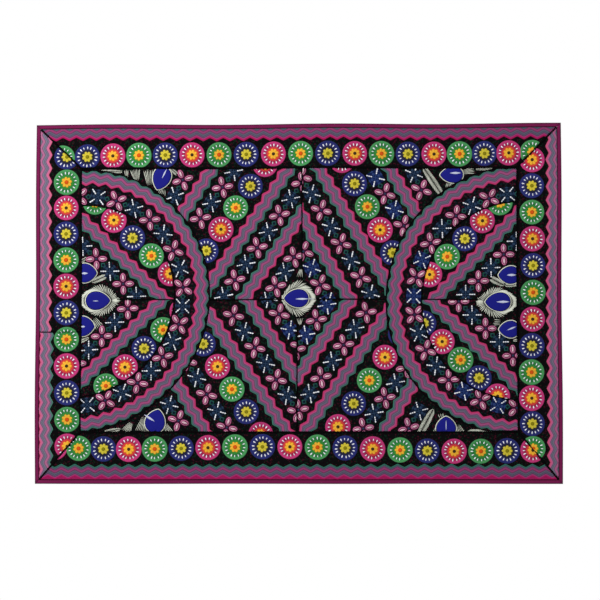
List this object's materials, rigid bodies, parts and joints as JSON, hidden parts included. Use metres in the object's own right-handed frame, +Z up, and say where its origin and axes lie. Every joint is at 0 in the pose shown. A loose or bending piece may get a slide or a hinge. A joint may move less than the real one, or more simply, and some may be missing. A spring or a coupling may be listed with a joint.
{
  "type": "patchwork wall hanging",
  "caption": "Wide rectangular patchwork wall hanging of embroidered cloth with facing arches, zigzag bands and rows of medallions, bound round its edge.",
  "frame": {"origin": "middle of the top edge, on the plane of the back of the binding", "axes": "+X to the viewer's right along the width, +Y towards the wall, +Z up; the embroidered front faces -Y"},
  "size_m": [1.5052, 0.0096, 1.0294],
  "materials": {
    "embroidered_cloth": "matt black cotton, closely embroidered",
    "arch_cloth": "matt dark cotton, closely embroidered",
    "border_cloth": "matt dark cotton, closely embroidered",
    "binding_cloth": "plain plum cotton with a faint sheen"
  },
  "bodies": {
    "root": {"quarter_upper_left": "embroidered_cloth", "quarter_upper_right": "embroidered_cloth", "quarter_lower_left": "embroidered_cloth", "quarter_lower_right": "embroidered_cloth", "sector_upper_left": "embroidered_cloth", "sector_upper_right": "embroidered_cloth", "sector_lower_left": "embroidered_cloth", "sector_lower_right": "embroidered_cloth", "arch_left": "arch_cloth", "arch_right": "arch_cloth", "border_top": "border_cloth", "border_bottom": "border_cloth", "border_right": "border_cloth", "border_left_upper": "border_cloth", "border_left_lower": "border_cloth", "binding_top": "binding_cloth", "binding_bottom": "binding_cloth", "binding_left": "binding_cloth", "binding_right": "binding_cloth"}
  },
  "joints": []
}
